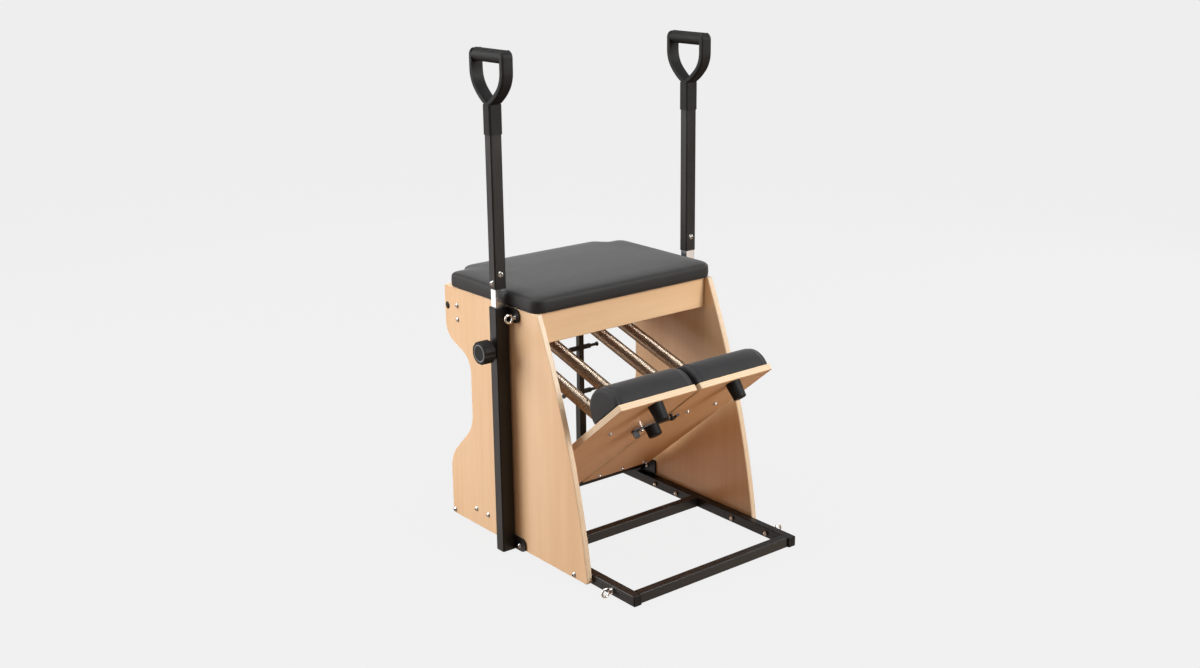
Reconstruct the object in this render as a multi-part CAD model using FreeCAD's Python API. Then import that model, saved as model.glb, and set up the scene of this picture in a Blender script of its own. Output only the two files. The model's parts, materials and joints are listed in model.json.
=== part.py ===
import FreeCAD, Part
import math
import os

V = FreeCAD.Vector
ORIGIN = V(0, 0, 0)
X = V(1, 0, 0)
Y = V(0, 1, 0)
Z = V(0, 0, 1)

# Layout in millimetres: X across, -Y the pedal side, Z up from the floor, origin on the floor.
overall_depth = 700.0
base_width = 500.0
front = -overall_depth / 2

# Base frame of rectangular tube
tube_width = 22.0
tube_height = 25.0
tube_wall = 2.0
tube_corner = 2.5
cap_thickness = 5.0
cap_plug_depth = 16.0
cap_clearance = 0.1
side_tube_length = 682.0
middle_tube_start = 322.0

# Plywood cabinet
panel_thickness = 15.0
panel_bottom = 2.5
panel_top = 597.0
panel_foot_front = 145.0
panel_mid_front = 192.0
panel_mid_height = 243.0
panel_top_front = 316.0
panel_edge_chamfer = 1.5
panel_foot_radius = 8.0
waist_depth = 101.5
waist_upper_outer = 472.0
waist_upper_inner = 429.0
waist_lower_inner = 257.0
waist_lower_outer = 157.0
waist_upper_radius = 50.0
waist_lower_radius = 85.0
rail_thickness = 18.0
front_rail_start = 328.0
front_rail_bottom = 522.0
rear_rail_setback = 53.5
rear_rail_bottom = 503.0
seat_board_thickness = 12.0
seat_board_setback = 2.0
rail_edge_radius = 3.0
plug_radius = 9.0
plug_stem_radius = 7.0
plug_height = 3.0
plug_depth = 10.0
plug_setback = 12.0
plug_z = 546.0

# Seat cushion, outline in plan and rise
cushion_overhang = 3.0
cushion_front = 314.0
cushion_shoulder_setback = 24.0
cushion_rear_overhang = 8.0
cushion_back_half = 195.0
cushion_step_width = 36.0
cushion_front_radius = 30.0
cushion_rear_radius = 18.0
cushion_least_radius = 4.0
cushion_side_height = 27.0
cushion_side_draw = 3.0
cushion_roll = 6.0
cushion_roll_steps = 4
cushion_hem = 3.0
cushion_crown = 4.0
cushion_crown_share = 0.6
cushion_crown_start = 40.0
cushion_crown_end = 130.0

# Fasteners
shank_radius = 3.0
hole_clearance = 0.2
head_radius = 7.0
head_height = 4.0
nut_radius = 6.0
nut_height = 4.5
nut_dome = 2.5
nut_bore_clearance = 0.05
running_clearance = 0.08
base_bolt_z = 12.0
rear_bolt_setback = 9.0
hidden_bolt_setback = 208.0
front_base_bolt = 195.0
rail_bolt_upper_z = 553.0
rail_bolt_lower_z = 518.0
rail_bolt_depth = 30.0

# Eye bolts
eye_wire_radius = 2.5
eye_inner_radius = 7.0
eye_stem_radius = 4.0
eye_flange_radius = 7.5
eye_flange_height = 3.0
eye_reach = 18.0
lower_eye_from_front = 77.0
upper_eye_from_front = 391.0
upper_eye_z = 577.0

# Handle masts
mast_gap = 5.0
mast_line = 431.0
post_width = 35.0
post_depth = 28.5
post_wall = 2.0
post_corner = 3.0
post_top = 596.0
tab_reach = 38.0
tab_height = 32.0
tab_bolt_from_front = 402.0
tab_corner_radius = 13.0
liner_length = 80.0
liner_lip = 2.0
liner_clearance = 0.05
insert_width = 27.0
insert_depth = 20.5
insert_wall = 2.0
insert_corner = 2.0
insert_running_gap = 0.35
insert_bottom = 300.0
insert_top = 780.0
insert_fit_gap = 0.05
insert_hole_pitch = 38.0
insert_hole_count = 6
handle_wall = 2.0
handle_bottom = 641.0
handle_top = 1040.0
handle_outer_bolt_rise = 14.0
handle_front_bolt_rise = 34.0

# Moulded grip
grip_socket_length = 50.0
grip_socket_wall = 2.0
grip_neck_rise = 16.0
grip_height = 120.0
grip_width = 130.0
grip_strap_thickness = 12.0
grip_strap_width = 30.0
grip_shoulder_drop = 46.0
grip_corner_radius = 17.0
grip_spread_angle = 31.0
grip_crotch_rise = 4.0
grip_outer_round = 5.0

# Pull knob with plunger
knob_z = 498.0
knob_radius = 27.0
knob_depth = 30.0
knob_flutes = 8
knob_flute_radius = 8.0
knob_flute_depth = 2.5
knob_edge = 3.0
knob_ring_radius = 19.0
knob_ring_width = 3.0
knob_ring_depth = 1.0
collar_radius = 11.0
collar_height = 10.0
plunger_radius = 4.0
plunger_clearance = 0.3
plunger_nose_gap = 0.4

# Pedal hinge
hinge_setback = 131.0
hinge_z = 45.0
hinge_axle_radius = 6.0
hinge_tube_radius = 12.5
bush_wall = 2.0
bush_length = 30.0
bush_flange = 1.5
bracket_length = 110.0
bracket_height = 39.0
bracket_plate = 6.0
bracket_boss_radius = 17.0
bracket_side_gap = 0.5
bracket_bolt_spacing = 50.0
bracket_corner_radius = 8.0
leaf_thickness = 4.0
leaf_length = 98.0

# Pedals, measured along the board from the hinge axis
pedal_angle = 39.5
pedal_reach = 626.0
pedal_heel = 52.0
pedal_half_gap = 6.0
pedal_outer_gap = 22.0
board_thickness = 15.0
board_below_axis = 1.7
board_edge_chamfer = 1.0
board_corner_radius = 4.0
hinge_bolt_reach = 81.0
hinge_bolt_count = 3
pad_inset = 2.0
pad_length = 112.0
pad_wall_height = 8.0
pad_rise = 63.0
pad_end_roll = 9.0
pad_roll_steps = 2
bumper_setback = 22.0
bumper_radius = 18.0
bumper_tip_radius = 15.5
bumper_length = 40.0
bumper_edge = 2.0
slot_setback = 30.0
slot_side_inset = 22.0
slot_length = 16.0
slot_width = 5.0

# Springs, their brackets on the pedals and the rear trees
spring_offset = 44.0
spring_bracket_behind_pad = 46.0
spring_pin_height = 20.5
spring_pin_radius = 4.0
spring_bracket_length = 22.0
spring_bracket_plate = 3.0
spring_bracket_gap = 16.0
spring_outer_radius = 15.75
spring_wire = 3.0
spring_turns = 24
spring_lead_turn = 0.25
loop_clearance = 0.4
front_loop_clearance = 0.9
front_loop_slack = 6.0
loop_wire_radius = 2.0
loop_neck_radius = 3.0
loop_neck_length = 8.0
loop_flange_height = 4.0
tree_post_size = 15.0
tree_socket_size = 20.0
tree_socket_top = 232.0
tree_top = 575.0
tree_wall = 1.5
tree_corner = 1.5
tree_top_peg_z = 488.0
tree_peg_pitch = 121.0
tree_peg_levels = 3
tree_sleeve_radius = 6.5
tree_sleeve_reach = 32.0
tree_peg_reach = 54.0
tree_head_radius = 6.0
tree_head_height = 3.0
tree_bolt_upper_z = 560.0
tree_bolt_lower_z = 520.0
tree_bolt_grip = 10.0

# Pedal lock on the underside of the boards, measured from its pivot bolt
lock_tilt = 10.0
lock_bar_plate = 4.0
lock_bar_width = 16.0
lock_stand_off = 7.0
lock_tail = 24.0
lock_tab_drop = 15.0
lock_tab_inset = 2.0
lock_tab_width = 16.0
lock_tab_plate = 3.0
lock_knob_reach = 27.0
lock_stud_reach = 86.0
lock_tip_reach = 101.0
lock_stud_radius = 3.5
lock_slot_clearance = 1.2
lock_stud_head_radius = 6.5
lock_head_height = 2.5
lock_head_gap = 0.5
lock_knob_radius = 17.5
lock_knob_tip_radius = 16.5
lock_knob_length = 25.0
lock_knob_edge = 2.0
lock_eye_wall = 7.5

# How near a line an edge must lie to be picked, and how far a cutter or a joined piece runs past a face
pick_distance = 1.0
overrun = 1.0

# Values that follow from the sizes above; the panels end flush with the rear caps of the side tubes
panel_rear = side_tube_length + 2 * cap_thickness
rear_base_bolt = panel_rear - rear_bolt_setback
hidden_base_bolt = panel_rear - hidden_bolt_setback
hinge_from_front = panel_rear - hinge_setback
rear_rail_centre = panel_rear - rear_rail_setback
plug_from_front = panel_rear - plug_setback
cushion_shoulder = panel_rear - cushion_shoulder_setback
cushion_rear = panel_rear + cushion_rear_overhang
grip_socket_bottom = handle_top - grip_socket_length
grip_neck_top = handle_top + grip_neck_rise
grip_top = grip_neck_top + grip_height
panel_inner = base_width / 2
panel_outer = panel_inner + panel_thickness
side_tube_inner = panel_inner - tube_width
side_tube_front = front + cap_thickness
rail_top = panel_top - seat_board_thickness
mast_x = panel_outer + mast_gap + post_width / 2
mast_y = front + mast_line
post_outer = mast_x + post_width / 2
handle_width = insert_width + 2 * (insert_fit_gap + handle_wall)
handle_depth = insert_depth + 2 * (insert_fit_gap + handle_wall)
hinge_y = front + hinge_from_front
tree_y = front + rear_rail_centre + rail_thickness / 2 + tree_post_size / 2
spring_bracket_reach = pedal_reach - pad_inset - pad_length - spring_bracket_behind_pad
pedal_outer = panel_inner - pedal_outer_gap
pedal_width = pedal_outer - pedal_half_gap
pedal_centre = (pedal_outer + pedal_half_gap) / 2
board_top = -board_below_axis
board_bottom = board_top - board_thickness
bracket_bottom = hinge_z - bracket_height / 2
coil_radius = spring_outer_radius - spring_wire / 2
spring_sides = (pedal_centre - spring_offset, pedal_centre + spring_offset)
lock_pivot_side = spring_sides[0]
lock_pivot_reach = spring_bracket_reach
lock_depth = lock_stand_off + lock_bar_plate


def box(x0, x1, y0, y1, z0, z1):
    return Part.makeBox(x1 - x0, y1 - y0, z1 - z0, V(x0, y0, z0))


def rod(start, direction, radius, length):
    return Part.makeCylinder(radius, length, start, direction)


def placed(shape, base, direction):
    """Move a shape drawn about +Z at the origin to base, pointing along direction."""
    moved = shape.copy()
    moved.Placement = FreeCAD.Placement(base, FreeCAD.Rotation(Z, direction))
    return moved


def mirrored(shape):
    return shape.mirror(ORIGIN, X)


def sides(shape):
    return [mirrored(shape), shape]


def joined(shapes):
    return shapes[0].fuse(shapes[1:]).removeSplitter()


def save(name, *shapes):
    shape = shapes[0] if len(shapes) == 1 else Part.makeCompound(list(shapes))
    shape.exportStep("parts/" + name + ".step")


def save_pair(name, shape):
    save("right_" + name, shape)
    save("left_" + name, mirrored(shape))


def arc(start, middle, end):
    return Part.Arc(start, middle, end).toShape()


def line(start, end):
    return Part.LineSegment(start, end).toShape()


def corner_arc(start, end, centre, radius):
    middle = (start + end) / 2 - centre
    middle.normalize()
    return arc(start, centre + middle * radius, end)


def biarc(p0, t0, p1, t1):
    """Two arcs that leave p0 along t0 and reach p1 along t1."""
    v = p1 - p0
    a = 2 * (t0.dot(t1) - 1)
    b = -2 * v.dot(t0 + t1)
    c = v.dot(v)
    d = -c / b if abs(a) < 1e-9 else (-b - math.sqrt(b * b - 4 * a * c)) / (2 * a)
    q0 = p0 + t0 * d
    q1 = p1 - t1 * d
    middle = (q0 + q1) / 2
    return [tangent_arc(p0, q0, middle, d), tangent_arc(middle, q1, p1, d)]


def tangent_arc(start, control, end, leg):
    weight = start.distanceToPoint(end) / (2 * leg)
    return arc(start, (start + control * (2 * weight) + end) / (2 + 2 * weight), end)


def rounded_rectangle(width, height, radius):
    x = width / 2
    y = height / 2
    edges = []
    corners = [(1, 1), (-1, 1), (-1, -1), (1, -1)]
    for index, (sx, sy) in enumerate(corners):
        centre = V(sx * (x - radius), sy * (y - radius), 0)
        beside = centre + V(sx * radius, 0, 0)
        beyond = centre + V(0, sy * radius, 0)
        first, last = (beside, beyond) if index % 2 == 0 else (beyond, beside)
        if edges:
            edges.append(line(edges[-1].Vertexes[-1].Point, first))
        edges.append(corner_arc(first, last, centre, radius))
    edges.append(line(edges[-1].Vertexes[-1].Point, edges[0].Vertexes[0].Point))
    return Part.Wire(edges)


def bar(width, height, radius, length):
    return Part.Face(rounded_rectangle(width, height, radius)).extrude(V(0, 0, length))


def tube(width, height, radius, wall, length):
    inner = bar(width - 2 * wall, height - 2 * wall, max(radius - wall, wall / 4), length)
    return bar(width, height, radius, length).cut(inner)


def along_x(shape, start, y, z):
    """Turn a shape drawn along +Z so that it runs along +X; its x size becomes height."""
    turned = shape.copy()
    turned.rotate(ORIGIN, Y, 90)
    turned.translate(V(start, y, z))
    return turned


def along_y(shape, x, start, z):
    """Turn a shape drawn along +Z so that it runs along +Y; its y size becomes height."""
    turned = shape.copy()
    turned.rotate(ORIGIN, X, -90)
    turned.translate(V(x, start, z))
    return turned


def dome(radius, height):
    ball = (radius ** 2 + height ** 2) / (2 * height)
    base_angle = math.degrees(math.asin((ball - height) / ball))
    return Part.makeSphere(ball, V(0, 0, height - ball), Z, base_angle, 90, 360)


def bolt(length):
    """Dome head on z = 0, shank below it."""
    return joined([dome(head_radius, head_height), rod(ORIGIN, -Z, shank_radius, length)])


def nut():
    """Acorn nut with its seat on z = 0, bored for the shank."""
    body = rod(ORIGIN, Z, nut_radius, nut_height)
    cap = dome(nut_radius, nut_dome)
    cap.translate(V(0, 0, nut_height))
    return joined([body, cap]).cut(rod(ORIGIN, Z, shank_radius + nut_bore_clearance, nut_height))


def drilled(shape, holes, radius=shank_radius + hole_clearance):
    """Cut a hole for each (base, direction, length)."""
    return shape.cut([rod(base, direction, radius, length) for base, direction, length in holes])


def cross_hole(y, z):
    """A hole along X through everything on the right-hand side."""
    return (V(side_tube_inner - nut_height, y, z), X, post_outer)


def base_bolt_places():
    return [front + place for place in (front_base_bolt, hidden_base_bolt, rear_base_bolt)]


def bracket_bolt_places():
    return [hinge_y + sign * bracket_bolt_spacing / 2 for sign in (-1, 1)]


def rail_bolt_heights():
    return [rail_bolt_lower_z, rail_bolt_upper_z]


def make_base():
    side = along_y(tube(tube_width, tube_height, tube_corner, tube_wall, side_tube_length),
                   panel_inner - tube_width / 2, side_tube_front, tube_height / 2)
    places = base_bolt_places() + [front + tab_bolt_from_front, front + lower_eye_from_front]
    save_pair("side_tube", drilled(side, [cross_hole(y, base_bolt_z) for y in places]))
    centres = {"front_cross_tube": side_tube_front + tube_width / 2,
               "middle_cross_tube": front + middle_tube_start + tube_width / 2,
               "rear_cross_tube": tree_y}
    span = 2 * side_tube_inner
    for name, y in centres.items():
        cross = tube(tube_height, tube_width, tube_corner, tube_wall, span)
        save(name, along_x(cross, -side_tube_inner, y, tube_height / 2))
    save("tube_end_caps", *[cap for end in (0, 1) for cap in sides(end_cap(end))])


def end_cap(rear):
    plate = bar(tube_width, tube_height, tube_corner, cap_thickness)
    inset = 2 * (tube_wall + cap_clearance)
    plug = bar(tube_width - inset, tube_height - inset, tube_corner - tube_wall, cap_plug_depth)
    plug.translate(V(0, 0, cap_thickness))
    edges = [edge for edge in plate.Edges if edge.BoundBox.ZMax < cap_thickness / 2]
    cap = joined([plate.makeChamfer(cap_thickness / 4, edges), plug])
    if rear:
        cap.rotate(ORIGIN, X, 180)
    start = side_tube_front + side_tube_length + cap_thickness if rear else front
    cap = along_y(cap, panel_inner - tube_width / 2, start, tube_height / 2)
    return drilled(cap, [cross_hole(front + rear_base_bolt, base_bolt_z)])


def panel_outline():
    rear = front + panel_rear
    waist = rear - waist_depth
    points = [V(0, rear, panel_bottom), V(0, rear, waist_lower_outer), V(0, waist, waist_lower_inner),
              V(0, waist, waist_upper_inner), V(0, rear, waist_upper_outer), V(0, rear, panel_top),
              V(0, front + panel_top_front, panel_top)]
    foot = V(0, front + panel_foot_front, panel_bottom)
    edges = [line(a, b) for a, b in zip(points, points[1:])]
    edges.append(arc(points[-1], V(0, front + panel_mid_front, panel_mid_height), foot))
    edges.append(line(foot, points[0]))
    return Part.Face(Part.Wire(edges)), points, foot


def through_edges(shape, points):
    """Edges parallel to X that pass through the given points."""
    found = []
    for edge in shape.Edges:
        ends = [vertex.Point for vertex in edge.Vertexes]
        if len(ends) == 2 and abs(ends[0].x - ends[1].x) > panel_thickness / 2:
            if any(math.hypot(ends[0].y - p.y, ends[0].z - p.z) < 0.01 for p in points):
                found.append(edge)
    return found


def make_cabinet():
    face, points, foot = panel_outline()
    panel = face.extrude(V(panel_thickness, 0, 0))
    panel = panel.makeFillet(waist_lower_radius, through_edges(panel, points[1:3]))
    panel = panel.makeFillet(waist_upper_radius, through_edges(panel, points[3:5]))
    panel = panel.makeFillet(panel_foot_radius, through_edges(panel, [foot, points[0], points[5]]))
    rims = [edge for edge in panel.Edges if edge.BoundBox.XLength < panel_edge_chamfer]
    panel = panel.makeChamfer(panel_edge_chamfer, rims)
    panel.translate(V(panel_inner, 0, 0))
    holes = [cross_hole(y, base_bolt_z) for y in base_bolt_places()]
    holes += [cross_hole(y, hinge_z) for y in bracket_bolt_places()]
    holes += [cross_hole(front + rear_rail_centre, z) for z in rail_bolt_heights()]
    holes.append(cross_hole(front + tab_bolt_from_front, base_bolt_z))
    holes.append(cross_hole(front + upper_eye_from_front, upper_eye_z))
    panel = drilled(panel, holes)
    plug_seat = V(panel_outer - plug_depth, front + plug_from_front, plug_z)
    save_pair("side_panel", panel.cut(rod(plug_seat, X, plug_stem_radius, plug_depth)))
    plug = placed(dome(plug_radius, plug_height), plug_seat + X * plug_depth, X)
    stem = rod(plug_seat + X * hole_clearance, X, plug_stem_radius - hole_clearance,
               plug_depth - hole_clearance)
    save("panel_plugs", *sides(joined([plug, stem])))
    make_rails()


def make_rails():
    start = front + front_rail_start
    behind = start + rail_thickness
    rail = box(-panel_inner, panel_inner, start, behind, front_rail_bottom, panel_top)
    lower = [edge for edge in rail.Edges
             if edge.BoundBox.XLength > panel_inner
             and edge.BoundBox.ZMax < front_rail_bottom + pick_distance]
    save("front_rail", rail.makeFillet(rail_edge_radius, lower))
    centre = front + rear_rail_centre
    rear = box(-panel_inner, panel_inner, centre - rail_thickness / 2, centre + rail_thickness / 2,
               rear_rail_bottom, rail_top)
    holes = []
    for sign in (-1, 1):
        end = V(sign * panel_inner, centre, 0)
        holes += [(end + Z * z, X * -sign, rail_bolt_depth) for z in rail_bolt_heights()]
        for z in (tree_bolt_lower_z, tree_bolt_upper_z):
            holes.append((V(sign * pedal_centre, centre + rail_thickness / 2, z), -Y, tree_bolt_grip))
    save("rear_rail", drilled(rear, holes))
    save("seat_board", box(-panel_inner, panel_inner, behind, front + panel_rear - seat_board_setback,
                           rail_top, panel_top))


def cushion_outline(inset, z):
    half = panel_outer + cushion_overhang - inset
    near = front + cushion_front + inset
    shoulder = front + cushion_shoulder - inset
    rear = front + cushion_rear - inset
    back = cushion_back_half - inset
    front_radius = max(cushion_front_radius - inset, cushion_least_radius)
    rear_radius = max(cushion_rear_radius - inset, cushion_least_radius)
    right = biarc(V(back, rear, z), X, V(back + cushion_step_width, shoulder, z), X)
    first = V(half - rear_radius, shoulder, z)
    second = V(half, shoulder - rear_radius, z)
    third = V(half, near + front_radius, z)
    fourth = V(half - front_radius, near, z)
    right.append(line(V(back + cushion_step_width, shoulder, z), first))
    right.append(corner_arc(first, second, V(half - rear_radius, shoulder - rear_radius, z), rear_radius))
    right.append(line(second, third))
    right.append(corner_arc(third, fourth, V(half - front_radius, near + front_radius, z), front_radius))
    left = [mirrored(edge) for edge in right]
    middle = [line(V(-back, rear, z), V(back, rear, z)), line(fourth, V(-fourth.x, fourth.y, z))]
    return Part.Wire(Part.__sortEdges__(right + left + middle))


def make_cushion():
    """Sides drawn in at the hem and towards the top, rolled over into a low crown."""
    levels = [(0, cushion_hem), (cushion_hem, 0), (cushion_side_height, cushion_side_draw)]
    for step in range(cushion_roll_steps):
        angle = math.pi / 2 * (step + 1) / cushion_roll_steps
        levels.append((cushion_side_height + cushion_roll * math.sin(angle),
                       cushion_side_draw + cushion_roll * (1 - math.cos(angle))))
    edge = levels[-1][0]
    levels.append((edge + cushion_crown * cushion_crown_share, cushion_crown_start))
    levels.append((edge + cushion_crown, cushion_crown_end))
    wires = [cushion_outline(inset, panel_top + height) for height, inset in levels]
    save("seat_cushion", Part.makeLoft(wires, True, True))


def make_fasteners():
    bolts = []
    nuts = []
    for y in base_bolt_places():
        bolts.append(side_bolt(panel_outer, y, base_bolt_z, side_tube_inner))
        nuts.append(side_nut(side_tube_inner, y, base_bolt_z))
    for y in bracket_bolt_places():
        bolts.append(side_bolt(panel_outer, y, hinge_z, panel_inner - bracket_plate))
        nuts.append(side_nut(panel_inner - bracket_plate, y, hinge_z))
    tab_y = front + tab_bolt_from_front
    bolts.append(side_bolt(panel_outer + mast_gap, tab_y, base_bolt_z, side_tube_inner))
    nuts.append(side_nut(side_tube_inner, tab_y, base_bolt_z))
    nuts.append(side_nut(side_tube_inner, front + lower_eye_from_front, base_bolt_z))
    nuts.append(side_nut(panel_inner, front + upper_eye_from_front, upper_eye_z))
    for z in rail_bolt_heights():
        screw = bolt(panel_thickness + rail_bolt_depth - hole_clearance)
        bolts.append(placed(screw, V(panel_outer, front + rear_rail_centre, z), X))
    for z in (tree_bolt_lower_z, tree_bolt_upper_z):
        screw = bolt(tree_post_size + tree_bolt_grip - hole_clearance)
        bolts.append(placed(screw, V(pedal_centre, tree_y + tree_post_size / 2, z), Y))
    save("frame_bolts", *[piece for shape in bolts for piece in sides(shape)])
    save("frame_nuts", *[piece for shape in nuts for piece in sides(shape)])
    lower = eye_bolt(panel_inner, front + lower_eye_from_front, base_bolt_z, side_tube_inner)
    upper = eye_bolt(panel_outer + mast_gap, front + upper_eye_from_front, upper_eye_z, panel_inner)
    save("eye_bolts", *(sides(lower) + sides(upper)))


def side_bolt(seat_x, y, z, nut_x):
    return placed(bolt(seat_x - nut_x + nut_height - hole_clearance), V(seat_x, y, z), X)


def side_nut(seat_x, y, z):
    return placed(nut(), V(seat_x, y, z), -X)


def eye_bolt(seat_x, y, z, nut_x):
    """Ring standing off along X on a flange, shank through to a nut."""
    ring_radius = eye_inner_radius + eye_wire_radius
    ring = Part.makeTorus(ring_radius, eye_wire_radius, V(0, 0, eye_reach), Y)
    stem = rod(ORIGIN, Z, eye_stem_radius, eye_reach - ring_radius)
    flange = rod(ORIGIN, Z, eye_flange_radius, eye_flange_height)
    shank = rod(ORIGIN, -Z, shank_radius, seat_x - nut_x + nut_height - hole_clearance)
    return placed(joined([ring, stem, flange, shank]), V(seat_x, y, z), X)


def rounded_tab(bottom):
    """Plate between post and panel that reaches forward of the post."""
    start = mast_y - post_depth / 2 - tab_reach
    plate = box(panel_outer, panel_outer + mast_gap, start, mast_y + post_depth / 2,
                bottom, bottom + tab_height)
    nose = [edge for edge in plate.Edges
            if edge.BoundBox.XLength > mast_gap / 2 and edge.BoundBox.YMax < start + pick_distance]
    return plate.makeFillet(tab_corner_radius, nose)


def make_masts():
    post = tube(post_width, post_depth, post_corner, post_wall, post_top)
    post.translate(V(mast_x, mast_y, 0))
    post = joined([post, rounded_tab(0), rounded_tab(post_top - tab_height)])
    post = drilled(post, [cross_hole(front + tab_bolt_from_front, base_bolt_z),
                          cross_hole(front + upper_eye_from_front, upper_eye_z)])
    knob_axis = V(mast_x, mast_y, knob_z)
    post = post.cut(rod(knob_axis, X, collar_radius / 2, post_width))
    save_pair("post", post)
    save("post_liners", *sides(post_liner()))
    insert = tube(insert_width, insert_depth, insert_corner, insert_wall, insert_top - insert_bottom)
    insert.translate(V(mast_x, mast_y, insert_bottom))
    steps = [knob_axis + Z * (step * insert_hole_pitch) for step in range(2 - insert_hole_count, 2)]
    insert = drilled(insert, [(place, X, post_width) for place in steps], plunger_radius + plunger_clearance)
    handle = tube(handle_width, handle_depth, insert_corner + handle_wall, handle_wall,
                  handle_top - handle_bottom)
    handle.translate(V(mast_x, mast_y, handle_bottom))
    bolts = handle_bolts()
    hole_radius = shank_radius + hole_clearance
    holes = [rod(base, -direction, hole_radius, length) for base, direction, length in bolts]
    save_pair("handle_insert", insert.cut(holes))
    save_pair("handle_tube", handle.cut(holes))
    screws = [placed(bolt(length), base, direction) for base, direction, length in bolts]
    save("right_handle_bolts", *screws)
    save("left_handle_bolts", *[mirrored(screw) for screw in screws])
    save_pair("handle_grip", grip())
    make_knob()


def post_liner():
    width = post_width - 2 * (post_wall + liner_clearance)
    depth = post_depth - 2 * (post_wall + liner_clearance)
    sleeve = bar(width, depth, post_corner - post_wall, liner_length)
    sleeve.translate(V(0, 0, -liner_length))
    lip = bar(post_width, post_depth, post_corner, liner_lip)
    bore = bar(insert_width + 2 * insert_running_gap, insert_depth + 2 * insert_running_gap,
               insert_corner, liner_length + liner_lip)
    bore.translate(V(0, 0, -liner_length))
    liner = joined([sleeve, lip]).cut(bore)
    liner.translate(V(mast_x, mast_y, post_top))
    return liner


def handle_bolts():
    """Seat, outward direction and shank length of the two bolts in the upper tube."""
    outer = V(mast_x + handle_width / 2, mast_y, handle_bottom + handle_outer_bolt_rise)
    face = V(mast_x, mast_y - handle_depth / 2, handle_bottom + handle_front_bolt_rise)
    length = handle_wall + insert_fit_gap + insert_wall
    return [(outer, X, length), (face, -Y, length)]


def grip_half(outer, z_shoulder, neck, z_neck):
    """Half outline of the grip from its neck to the middle of its top, in the YZ plane."""
    spread = math.radians(grip_spread_angle)
    leave = V(0, math.cos(spread), math.sin(spread))
    shoulder = V(0, outer, z_shoulder)
    return shoulder, biarc(V(0, neck, z_neck), leave, shoulder, Z)


def rim_edges(shape):
    """Edges that lie in the grip's flat faces, but for the line across its neck."""
    return [edge for edge in shape.Edges
            if edge.BoundBox.XLength < pick_distance and edge.BoundBox.ZMax > grip_neck_top + pick_distance]


def grip():
    """Two curved straps from a socket to a round cross bar."""
    half = grip_width / 2
    shoulder_z = grip_top - grip_shoulder_drop
    neck = handle_depth / 2 + grip_socket_wall
    shoulder, sweep = grip_half(half, shoulder_z, neck, grip_neck_top)
    radius = grip_corner_radius
    first = V(0, half, grip_top - radius)
    second = V(0, half - radius, grip_top)
    outer = sweep + [line(shoulder, first),
                     corner_arc(first, second, V(0, half - radius, grip_top - radius), radius)]
    flip = [edge.mirror(ORIGIN, Y) for edge in outer]
    caps = [line(second, V(0, -second.y, second.z)),
            line(V(0, -neck, grip_neck_top), V(0, neck, grip_neck_top))]
    frame = Part.Face(Part.Wire(Part.__sortEdges__(outer + flip + caps)))
    inside = half - grip_strap_thickness
    crotch_z = grip_neck_top + grip_crotch_rise
    shoulder, sweep = grip_half(inside, shoulder_z, 0, crotch_z)
    width = grip_strap_width
    bar_z = grip_top - width / 2
    ceiling = V(0, inside, grip_top)
    opening = sweep + [line(shoulder, ceiling)]
    flip = [edge.mirror(ORIGIN, Y) for edge in opening]
    lid = [line(ceiling, V(0, -inside, grip_top))]
    gap = Part.Face(Part.Wire(Part.__sortEdges__(opening + flip + lid)))
    shell = frame.extrude(V(width, 0, 0))
    shell = shell.makeFillet(grip_outer_round, rim_edges(shell))
    straps = shell.cut(gap.extrude(V(width, 0, 0)))
    straps.translate(V(-width / 2, 0, 0))
    cross_bar = rod(V(0, -inside - overrun, bar_z), Y, width / 2, 2 * (inside + overrun))
    socket_width = handle_width + 2 * grip_socket_wall
    socket = bar(socket_width, 2 * neck, insert_corner + handle_wall + grip_socket_wall,
                 grip_neck_top - grip_socket_bottom)
    socket.translate(V(0, 0, grip_socket_bottom))
    whole = joined([straps, cross_bar, socket])
    pocket = bar(handle_width + 2 * insert_fit_gap, handle_depth + 2 * insert_fit_gap,
                 insert_corner + handle_wall, handle_top - grip_socket_bottom)
    pocket.translate(V(0, 0, grip_socket_bottom))
    whole = whole.cut(pocket)
    whole.translate(V(mast_x, mast_y, 0))
    return whole


def make_knob():
    seat = V(post_outer, mast_y, knob_z)
    collar = rod(ORIGIN, Z, collar_radius, collar_height)
    neck = rod(V(0, 0, -post_wall), Z, collar_radius / 2 - hole_clearance, post_wall)
    bore = rod(V(0, 0, -post_wall), Z, plunger_radius + plunger_clearance, collar_height + post_wall)
    save_pair("plunger_collar", placed(joined([collar, neck]).cut(bore), seat, X))
    head = rod(V(0, 0, collar_height + plunger_clearance), Z, knob_radius, knob_depth)
    head = head.makeFillet(knob_edge, [edge for edge in head.Edges if len(edge.Vertexes) == 1])
    face_z = collar_height + plunger_clearance + knob_depth
    ring_base = V(0, 0, face_z - knob_ring_depth)
    ring_outer = rod(ring_base, Z, knob_ring_radius + knob_ring_width / 2, knob_depth)
    ring_inner = rod(ring_base, Z, knob_ring_radius - knob_ring_width / 2, knob_depth)
    cuts = [ring_outer.cut(ring_inner)]
    for index in range(knob_flutes):
        angle = 2 * math.pi * index / knob_flutes
        reach = knob_radius + knob_flute_radius - knob_flute_depth
        flute = V(reach * math.cos(angle), reach * math.sin(angle), 0)
        cuts.append(rod(flute, Z, knob_flute_radius, face_z + overrun))
    nose = insert_width / 2 + plunger_nose_gap - post_width / 2
    plunger = rod(V(0, 0, nose), Z, plunger_radius, face_z - knob_depth / 2 - nose)
    save_pair("pull_knob", placed(joined([head.cut(cuts), plunger]), seat, X))


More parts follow.
